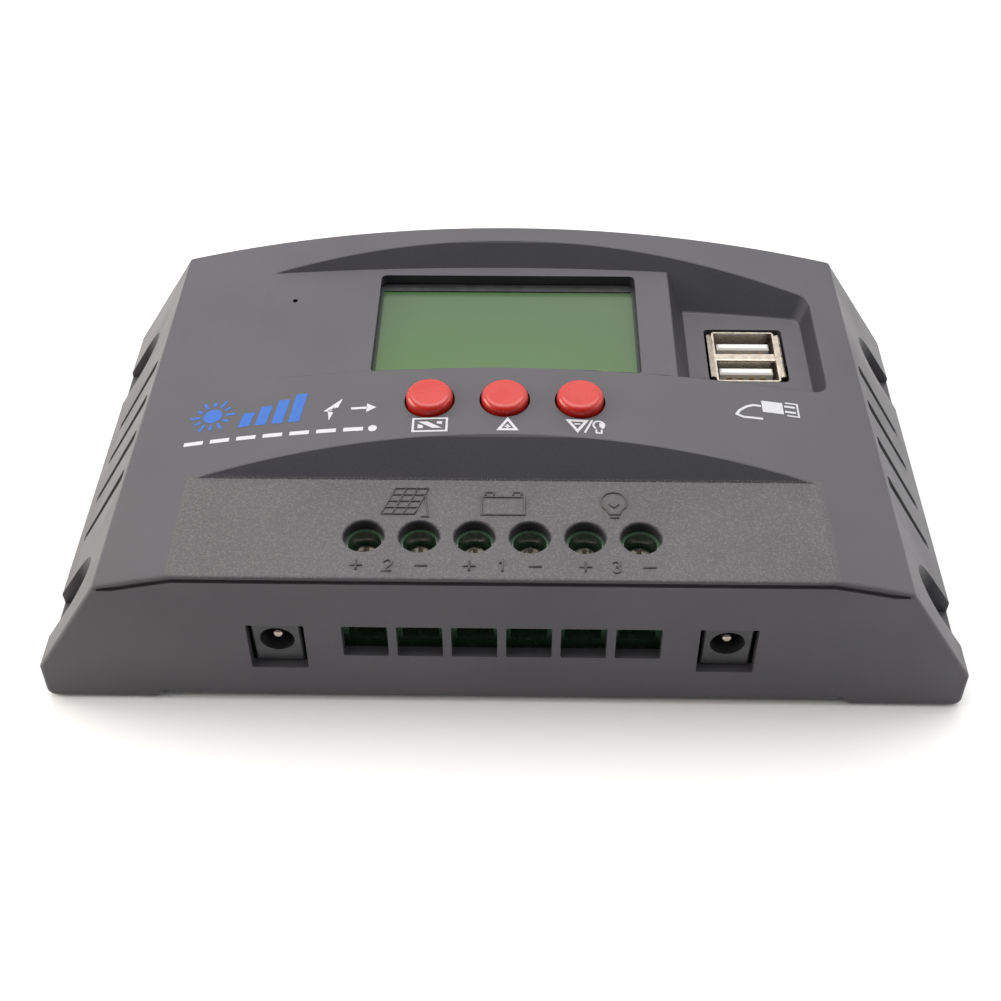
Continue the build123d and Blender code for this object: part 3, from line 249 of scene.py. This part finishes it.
def board_green():
    """Solder mask with faint tracks under it."""
    surface = Surface("board_green", (0.02, 0.115, 0.045), 0.28)
    surface.mottle(320.0, (0.03, 0.19, 0.075), 0.8, stretch=(1.0, 0.12, 1.0))
    surface.mottle(260.0, (0.016, 0.085, 0.034), 0.8, stretch=(0.1, 1.0, 1.0))
    return surface.grain(900.0, 0.3, 4e-5, stretch=(1.0, 0.12, 1.0)).material


def black_plastic():
    surface = Surface("black_plastic", (0.03, 0.03, 0.032), 0.42)
    surface.mottle(500.0, (0.05, 0.05, 0.053), 0.6)
    surface.vary_gloss(300.0, 0.34, 0.5)
    return surface.grain(2200.0, 0.3, 4e-5).material


def display_glass():
    """Green reflective display glass: a soft drift of tone and almost no grain."""
    coat = {"Coat_Weight": 0.15, "Coat_Roughness": 0.06}
    surface = Surface("display_glass", (0.074, 0.150, 0.038), 0.16, **coat)
    x, y, _ = surface.axes()
    low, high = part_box("lcd_glass")
    depth = surface.ramp(y, 0.0, 0.9, low.y, high.y)
    surface.blend_colour(depth, (0.052, 0.098, 0.050))
    across = surface.ramp(x, 0.0, 0.45, low.x, high.x)
    surface.blend_colour(across, (0.074, 0.122, 0.062))
    surface.mottle(26.0, (0.056, 0.110, 0.042), 0.35)
    surface.vary_gloss(40.0, 0.12, 0.22)
    return surface.grain(5200.0, 0.05, 1e-5).material


def backlight():
    surface = Surface("backlight", (0.42, 0.58, 0.33), 0.35)
    surface.mottle(90.0, (0.36, 0.52, 0.28))
    return surface.grain(1500.0, 0.3, 5e-5).material


def foam():
    surface = Surface("foam", (0.03, 0.03, 0.03), 0.9)
    surface.mottle(1500.0, (0.06, 0.06, 0.06))
    return surface.grain(1200.0, 0.9, 2e-4).material


def terminal_green():
    """Glossy moulded green of the terminal blocks."""
    surface = Surface("terminal_green", (0.046, 0.092, 0.055), 0.2, Coat_Weight=0.5)
    surface.mottle(240.0, (0.058, 0.112, 0.068), 0.6)
    surface.vary_gloss(400.0, 0.18, 0.32)
    return surface.grain(1600.0, 0.2, 4e-5).material


def white_plastic():
    surface = Surface("white_plastic", (0.72, 0.71, 0.67), 0.32)
    surface.mottle(300.0, (0.66, 0.64, 0.60))
    return surface.grain(1500.0, 0.2, 4e-5).material


def aluminium():
    surface = Surface("heat_aluminium", (0.62, 0.63, 0.65), 0.34, 1.0)
    surface.mottle(500.0, (0.5, 0.51, 0.53), 0.6, stretch=(0.06, 1.0, 1.0))
    surface.vary_gloss(900.0, 0.24, 0.46, stretch=(0.05, 1.0, 1.0))
    return surface.grain(2400.0, 0.35, 3e-5, stretch=(0.03, 1.0, 1.0)).material


def thermal_pad():
    surface = Surface("pad", (0.36, 0.38, 0.41), 0.7)
    surface.mottle(900.0, (0.3, 0.32, 0.35))
    return surface.grain(900.0, 0.5, 6e-5, stretch=(1.0, 1.0, 0.3)).material


def ferrite():
    surface = Surface("ferrite", (0.07, 0.07, 0.075), 0.62)
    surface.mottle(900.0, (0.12, 0.12, 0.125))
    return surface.grain(1400.0, 0.7, 1e-4).material


def copper():
    surface = Surface("copper", (0.62, 0.24, 0.10), 0.26, 0.9)
    surface.mottle(500.0, (0.48, 0.16, 0.06), 0.7)
    return surface.grain(1500.0, 0.3, 4e-5).material


def capacitor_sleeve():
    surface = Surface("sleeve", (0.025, 0.026, 0.04), 0.3)
    surface.mottle(200.0, (0.045, 0.047, 0.07), 0.6)
    return surface.grain(800.0, 0.25, 4e-5, stretch=(1.0, 1.0, 0.2)).material


def fuse_amber():
    surface = Surface("fuse_amber", (0.62, 0.27, 0.02), 0.22)
    surface.mottle(300.0, (0.52, 0.2, 0.015))
    return surface.grain(1200.0, 0.2, 3e-5).material


def button_red():
    """Glossy orange-red caps with a very slight orange-peel."""
    coat = {"Coat_Weight": 0.25, "Coat_Roughness": 0.12}
    surface = Surface("button_red", (0.47, 0.013, 0.005), 0.24, **coat)
    surface.mottle(160.0, (0.43, 0.011, 0.004), 0.5)
    surface.vary_gloss(260.0, 0.22, 0.34)
    return surface.grain(900.0, 0.16, 4e-5).material


def gold():
    surface = Surface("gold", (0.80, 0.58, 0.26), 0.24, 1.0)
    surface.mottle(900.0, (0.68, 0.47, 0.2))
    return surface.grain(2400.0, 0.2, 2e-5).material


def ink(name, colour):
    """Pad-printed ink: slightly uneven cover and a faint edge of grain."""
    surface = Surface(name, colour, 0.5)
    surface.mottle(1500.0, tuple(0.88 * c for c in colour), 0.5)
    surface.vary_gloss(900.0, 0.42, 0.6)
    return surface.grain(2600.0, 0.2, 3e-5).material


def moulded_symbol_painted_shade():
    """The case's own plastic on the raised lines, painted a little darker than the deck as shade for
    the small shadows their sides cast.
    """
    # Painted shade: this darker grey stands in for the shadows along the raised lines.
    surface = Surface("moulded_symbol_painted_shade", (0.050, 0.047, 0.048), 0.45)
    surface.mottle(900.0, (0.070, 0.066, 0.067), 0.5)
    return surface.grain(1500.0, 0.3, 5e-5).material


FINISHES = {
    "case_plastic": case_plastic(),
    "cover_plastic": cover_plastic(),
    "screw_steel": steel("screw_steel"),
    "board": board_green(),
    "black_plastic": black_plastic(),
    "gold": gold(),
    "lcd": display_glass(),
    "backlight": backlight(),
    "foam": foam(),
    "terminal_green": terminal_green(),
    "nickel": steel("nickel", (0.50, 0.44, 0.37), 0.27),
    "white_plastic": white_plastic(),
    "heat_aluminium": aluminium(),
    "pad": thermal_pad(),
    "ferrite": ferrite(),
    "copper": copper(),
    "sleeve": capacitor_sleeve(),
    "fuse_amber": fuse_amber(),
    "button_red": button_red(),
}


def paint_nodes():
    """Every CAD node takes the finish of its own slot in the record."""
    for part in frame["record"]["subparts"]:
        thing = frame["nodes"][part["node"]]
        for holder in thing.material_slots:
            holder.link = "OBJECT"
            holder.material = FINISHES[part["material_slot"]]


# ------------------------------------------------------- prints and symbols


def housing_top():
    """A quick way down onto the housing: give x and y, get the height of the surface."""
    mesh = frame["nodes"]["top_housing"].data
    corners = [vertex.co for vertex in mesh.vertices]
    tree = BVHTree.FromPolygons(corners, [tuple(face.vertices) for face in mesh.polygons])
    start = HOUSING_HIGH.z + RAY_CLEARANCE

    def height(x, y):
        hit = tree.ray_cast(Vector((x, y, start)), Vector((0.0, 0.0, -1.0)))[0]
        return hit.z if hit else 0.0

    return height


height_at = housing_top()


def place(x, y):
    """Millimetres across and behind the front edge, as metres in the shared frame."""
    return Vector((x * MM, FRONT + y * MM))


def add_mesh(name, corners, faces, material):
    mesh = bpy.data.meshes.new(name)
    mesh.from_pydata(corners, [], faces)
    mesh.update()
    mesh.materials.append(material)
    thing = bpy.data.objects.new(name, mesh)
    bpy.context.scene.collection.objects.link(thing)
    for face in mesh.polygons:
        face.use_smooth = True
    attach(thing, "case")
    return thing


def divided(points, closed, step=1.2 * MM):
    """The same line with no run longer than step."""
    points = [Vector(p) for p in points]
    if closed:
        points = points + [points[0]]
    line = []
    for a, b in zip(points, points[1:]):
        pieces = max(1, math.ceil((b - a).length / step))
        line += [a.lerp(b, i / pieces) for i in range(pieces)]
    if not closed:
        line.append(points[-1])
    return line


MITRE_LIMIT = 0.45


def mitres(line, closed):
    """For each point, the sideways direction that keeps a band's width round corners."""
    count = len(line)
    sides = []
    for i, point in enumerate(line):
        before = line[(i - 1) % count] if closed or i else None
        after = line[(i + 1) % count] if closed or i < count - 1 else None
        into = (point - before).normalized() if before is not None else None
        out = (after - point).normalized() if after is not None else None
        into = into if into is not None else out
        out = out if out is not None else into
        along = into + out
        along = along.normalized() if along.length > 1e-6 else out
        across = Vector((-along.y, along.x))
        side = Vector((-out.y, out.x))
        sides.append(across / max(MITRE_LIMIT, across.dot(side)))
    return sides


# Sections of a band: sideways in half widths, then millimetres above the housing.
FLAT_INK = ((-1.0, 0.03), (1.0, 0.03))
RAISED_LINE = (
    (-1.0, -0.05),
    (-0.85, 0.18),
    (-0.45, 0.28),
    (0.45, 0.28),
    (0.85, 0.18),
    (1.0, -0.05),
)


class Mark:
    """Bands and filled shapes laid on the housing, gathered into one mesh."""

    def __init__(self, name, material, slot, profile):
        self.name = name
        self.material = material
        self.slot = slot
        self.profile = profile
        self.corners = []
        self.faces = []

    def put(self, point, lift):
        self.corners.append((point.x, point.y, height_at(point.x, point.y) + lift * MM))
        return len(self.corners) - 1

    def band(self, points, width, closed=False):
        """A line of the given width through points in millimetres."""
        line = divided([place(*p) for p in points], closed)
        sides = mitres(line, closed)
        half = width / 2 * MM
        rows = [
            [self.put(p + side * offset * half, lift) for offset, lift in self.profile]
            for p, side in zip(line, sides)
        ]
        turns = zip(rows, rows[1:] + rows[:1]) if closed else zip(rows, rows[1:])
        for row, following in turns:
            for i in range(len(row) - 1):
                self.faces.append((row[i], following[i], following[i + 1], row[i + 1]))
        if not closed and len(self.profile) > 2:
            self.faces.append(tuple(rows[0]))
            self.faces.append(tuple(reversed(rows[-1])))
        return self

    def fill(self, outline, rings=4):
        """A filled shape, star-shaped about its middle."""
        line = divided([place(*p) for p in outline], True)
        middle = sum(line, Vector((0.0, 0.0))) / len(line)
        lift = self.profile[len(self.profile) // 2][1]
        hub = self.put(middle, lift)
        inner = None
        for turn in range(1, rings + 1):
            row = [self.put(middle.lerp(p, turn / rings), lift) for p in line]
            for i in range(len(row)):
                j = (i + 1) % len(row)
                if inner is None:
                    self.faces.append((hub, row[i], row[j]))
                else:
                    self.faces.append((inner[i], row[i], row[j], inner[j]))
            inner = row
        return self

    def make(self):
        return add_mesh(self.name, self.corners, self.faces, self.material)


def arc(x, y, radius, start, end, steps=14):
    """Points round a circle, angles in degrees."""
    angles = [math.radians(start + (end - start) * i / steps) for i in range(steps + 1)]
    return [(x + radius * math.cos(a), y + radius * math.sin(a)) for a in angles]


def ring(x, y, radius, steps=24):
    return arc(x, y, radius, 0.0, 360.0, steps)[:-1]


DIGIT_HALF = 1.25
SIGN_HALF = 1.15


def one(x, y):
    return [[(x - 0.55, y + 0.65), (x + 0.05, y + DIGIT_HALF), (x + 0.05, y - DIGIT_HALF)]]


def two(x, y):
    bowl = arc(x, y + 0.55, 0.70, 165.0, -35.0)
    return [bowl + [(x - 0.75, y - DIGIT_HALF), (x + 0.80, y - DIGIT_HALF)]]


def three(x, y):
    upper = arc(x, y + 0.62, 0.62, 150.0, -80.0)
    lower = arc(x, y - 0.60, 0.68, 80.0, -150.0)
    return [upper + lower]


def plus(x, y):
    return [[(x - SIGN_HALF, y), (x + SIGN_HALF, y)], [(x, y - SIGN_HALF), (x, y + SIGN_HALF)]]


def minus(x, y):
    return [[(x - SIGN_HALF, y), (x + SIGN_HALF, y)]]


LABEL_Y = 6.3
LABELS = (
    (plus, -25.8),
    (two, -20.2),
    (minus, -14.3),
    (plus, -5.75),
    (one, 0.1),
    (minus, 5.9),
    (plus, 14.8),
    (three, 20.25),
    (minus, 26.1),
)
SYMBOL_LINE = 0.42
FINE_LINE = 0.34
ICON_LINE = 0.36
BOLD_LINE = 0.55


def deck_labels():
    """Raised numbers and polarity signs in front of the driver holes."""
    mark = Mark("deck_labels", SHADED_MOULDING, "case_plastic", RAISED_LINE)
    for shape, x in LABELS:
        for stroke in shape(x, LABEL_Y):
            mark.band(stroke, SYMBOL_LINE)
    return mark.make()


def panel_symbol():
    """A leaning solar panel of four rows and three columns, on a leg."""
    mark = Mark("panel_symbol", SHADED_MOULDING, "case_plastic", RAISED_LINE)
    left, right, low, high, lean = -22.3, -16.2, 18.6, 25.0, 2.3
    for row in range(5):
        t = row / 4
        y = low + (high - low) * t
        mark.band([(left + lean * t, y), (right + lean * t, y)], FINE_LINE)
    for column in range(4):
        x = left + (right - left) * column / 3
        mark.band([(x, low), (x + lean, high)], FINE_LINE)
    mark.band([(right + lean * 0.75, 23.4), (-13.6, 18.0), (-15.0, 18.0)], ICON_LINE)
    return mark.make()


def battery_symbol():
    """A battery outline with two posts."""
    mark = Mark("battery_symbol", SHADED_MOULDING, "case_plastic", RAISED_LINE)
    mark.band([(-3.9, 18.6), (4.0, 18.6), (4.0, 23.0), (-3.9, 23.0)], SYMBOL_LINE, closed=True)
    for x in (-2.5, 2.6):
        mark.band([(x - 0.8, 23.3), (x - 0.8, 24.2), (x + 0.8, 24.2), (x + 0.8, 23.3)], SYMBOL_LINE)
    return mark.make()


def bulb_symbol():
    """A light bulb outline with its base."""
    mark = Mark("bulb_symbol", SHADED_MOULDING, "case_plastic", RAISED_LINE)
    x, y = 20.4, 22.0
    globe = arc(x, y, 2.4, -58.0, 238.0, 24)
    mark.band(globe + [(x - 0.9, 18.9), (x + 0.9, 18.9)], SYMBOL_LINE, closed=True)
    mark.band([(x - 0.8, 18.1), (x + 0.8, 18.1)], SYMBOL_LINE)
    mark.band([(x - 0.9, 21.4), (x, 20.6), (x + 0.9, 21.4)], 0.32)
    return mark.make()


def button_icons():
    """White icons in front of the buttons: menu, up and plus, down and minus with a bulb."""
    mark = Mark("button_icons", WHITE_INK, "white_plastic", FLAT_INK)
    mark.band([(-17.3, 35.3), (-10.9, 35.3), (-10.9, 38.7), (-17.3, 38.7)], SYMBOL_LINE, closed=True)
    mark.fill([(-16.4, 37.9), (-14.6, 37.9), (-11.8, 36.1), (-13.6, 36.1)], 3)
    mark.fill([(-16.4, 37.2), (-15.4, 36.9), (-15.4, 36.1), (-16.4, 36.1)], 2)
    mark.fill([(-12.8, 37.9), (-11.8, 37.9), (-11.8, 37.1), (-12.8, 37.3)], 2)
    mark.band([(-1.0, 35.6), (2.3, 35.6), (0.65, 38.4)], BOLD_LINE, closed=True)
    mark.band([(0.1, 36.4), (1.2, 36.4)], FINE_LINE)
    mark.band([(0.65, 35.9), (0.65, 36.95)], FINE_LINE)
    mark.band([(12.1, 38.4), (15.6, 38.4), (13.85, 35.6)], BOLD_LINE, closed=True)
    mark.band([(13.3, 37.5), (14.4, 37.5)], FINE_LINE)
    mark.band([(15.2, 35.2), (16.7, 38.7)], 0.40)
    mark.band(arc(17.9, 37.4, 1.05, -60.0, 240.0), ICON_LINE)
    mark.band([(17.4, 36.2), (17.4, 35.3), (18.4, 35.3), (18.4, 36.2)], FINE_LINE)
    mark.fill([(18.9, 36.6), (18.0, 36.9), (18.0, 38.0), (18.7, 38.1)], 2)
    return mark.make()


def sun_mark():
    """A blue sun and four leaning bars, where the front of the case carries its title."""
    mark = Mark("sun_mark", BLUE_INK, "white_plastic", FLAT_INK)
    x, y = -57.2, 43.8
    mark.fill(ring(x, y, 1.9), 2)
    for turn in range(12):
        angle = math.radians(30.0 * turn)
        reach = (2.6, 3.9) if turn % 2 else (2.6, 4.5)
        mark.band([(x + r * math.cos(angle), y + r * math.sin(angle)) for r in reach], 0.62)
    for i in range(4):
        left = -51.6 + 3.3 * i
        top = 43.6 + 1.35 * i
        mark.fill([(left, 39.8), (left + 2.2, 39.8), (left + 3.0, top), (left + 0.8, top)], 3)
    return mark.make()


def charge_mark():
    """A white bolt and an arrow, above a dashed rule that ends in a dot."""
    mark = Mark("charge_mark", WHITE_INK, "white_plastic", FLAT_INK)
    upper_bolt = [(-34.2, 42.5), (-32.2, 42.9), (-31.5, 45.4)]
    lower_bolt = [(-35.0, 42.1), (-33.0, 41.7), (-33.7, 39.4)]
    mark.fill(upper_bolt + lower_bolt, 3)
    mark.band([(-29.6, 42.4), (-25.4, 42.4)], 0.6)
    mark.fill([(-26.6, 41.2), (-24.7, 42.4), (-26.6, 43.6)], 2)
    for i in range(7):
        left = -61.8 + 5.2 * i
        mark.band([(left, 36.6), (left + 3.8, 36.6)], 1.0)
    mark.fill(ring(-25.0, 36.6, 0.85, 14), 1)
    return mark.make()


def socket_mark():
    """A plain plug with a trailing lead in front of the sockets."""
    mark = Mark("socket_mark", WHITE_INK, "white_plastic", FLAT_INK)
    mark.fill([(50.2, 45.1), (54.4, 45.1), (54.4, 48.3), (50.2, 48.3)], 3)
    for y in (45.7, 47.2):
        mark.band([(54.7, y + 0.25), (56.9, y + 0.25)], BOLD_LINE)
    mark.band([(55.0, 44.9), (57.4, 44.9), (57.4, 48.5), (55.0, 48.5)], ICON_LINE)
    tail = [(50.0, 46.7), (48.4, 46.7), (47.0, 46.0), (45.6, 44.8), (44.9, 43.6)]
    mark.band(tail + [(46.2, 43.0), (50.0, 43.1)], BOLD_LINE)
    return mark.make()


# ------------------------------------------------------------ light, camera


def pale_floor():
    """One wide pale sheet under the object."""
    surface = Surface("floor", (0.93, 0.93, 0.93), 0.7)
    surface.mottle(3.0, (0.90, 0.90, 0.90), 0.4)
    half = FLOOR_HALF
    mesh = bpy.data.meshes.new("floor")
    corners = [(-half, -half, 0.0), (half, -half, 0.0), (half, half, 0.0), (-half, half, 0.0)]
    mesh.from_pydata(corners, [], [(0, 1, 2, 3)])
    mesh.materials.append(surface.material)
    floor = bpy.data.objects.new("floor", mesh)
    floor.location.z = -FLOOR_DROP
    bpy.context.scene.collection.objects.link(floor)


def soft_box(name, place_at, size, power, tint=(1.0, 1.0, 1.0)):
    """A rectangular lamp turned towards the middle of the case."""
    lamp = bpy.data.lights.new(name, "AREA")
    lamp.shape = "RECTANGLE"
    lamp.size, lamp.size_y = size
    lamp.energy = power
    lamp.color = tint
    thing = bpy.data.objects.new(name, lamp)
    thing.location = place_at
    thing.rotation_mode = "QUATERNION"
    thing.rotation_quaternion = (Vector(LIGHT_AIM) - Vector(place_at)).to_track_quat("-Z", "Y")
    bpy.context.scene.collection.objects.link(thing)
    return thing


def studio():
    """A pale room, dimmer behind the camera, with an overhead box and low boxes at both sides."""
    bpy.context.scene.view_settings.view_transform = "Standard"
    world = bpy.data.worlds.new("studio")
    world.use_nodes = True
    nodes = world.node_tree.nodes
    links = world.node_tree.links
    heading = nodes.new("ShaderNodeTexCoord")
    split = nodes.new("ShaderNodeSeparateXYZ")
    links.new(heading.outputs["Generated"], split.inputs["Vector"])
    depth = nodes.new("ShaderNodeMapRange")
    depth.inputs["From Min"].default_value = ROOM_FADE_START
    depth.inputs["From Max"].default_value = ROOM_FADE_END
    depth.inputs["To Min"].default_value = ROOM_FRONT
    depth.inputs["To Max"].default_value = ROOM_BACK
    links.new(split.outputs["Y"], depth.inputs["Value"])
    background = nodes["Background"]
    background.inputs["Color"].default_value = (1.0, 1.0, 1.0, 1.0)
    links.new(depth.outputs["Result"], background.inputs["Strength"])
    bpy.context.scene.world = world
    soft_box("overhead", OVERHEAD_PLACE, OVERHEAD_SIZE, OVERHEAD_WATTS)
    soft_box("left_box", LEFT_PLACE, SIDE_SIZE, LEFT_WATTS, WARM)
    soft_box("right_box", RIGHT_PLACE, SIDE_SIZE, RIGHT_WATTS, WARM)


CAMERA_PLACE = (0.00362, -0.20046, 0.21606)
CAMERA_LENS = 48.969
CAMERA_SENSOR = 36.0
CAMERA_CLIP = 0.01
CAMERA_PITCH = math.radians(47.01)
CAMERA_YAW = math.radians(-1.37)
CAMERA_ROLL = math.radians(-0.50)


def camera():
    """The camera at the viewing angle of a hand-held picture, looking down over the front edge."""
    lens = bpy.data.cameras.new("camera")
    lens.lens = CAMERA_LENS
    lens.sensor_width = CAMERA_SENSOR
    lens.clip_start = CAMERA_CLIP
    thing = bpy.data.objects.new("camera", lens)
    ahead = Vector((
        math.sin(CAMERA_YAW) * math.cos(CAMERA_PITCH),
        math.cos(CAMERA_YAW) * math.cos(CAMERA_PITCH),
        -math.sin(CAMERA_PITCH),
    ))
    level = ahead.cross(Vector((0.0, 0.0, 1.0))).normalized()
    upward = level.cross(ahead)
    right = math.cos(CAMERA_ROLL) * level + math.sin(CAMERA_ROLL) * upward
    above = -math.sin(CAMERA_ROLL) * level + math.cos(CAMERA_ROLL) * upward
    turn = Matrix((right, above, -ahead)).transposed().to_4x4()
    thing.matrix_world = Matrix.Translation(CAMERA_PLACE) @ turn
    bpy.context.scene.collection.objects.link(thing)
    bpy.context.scene.camera = thing


# The raised symbols' plastic carries painted shade, darker than the deck.
SHADED_MOULDING = moulded_symbol_painted_shade()
WHITE_INK = ink("white_ink", PRINT_WHITE)
BLUE_INK = ink("blue_ink", PRINT_BLUE)

paint_nodes()
deck_labels()
panel_symbol()
battery_symbol()
bulb_symbol()
button_icons()
sun_mark()
charge_mark()
socket_mark()
pale_floor()
studio()
camera()
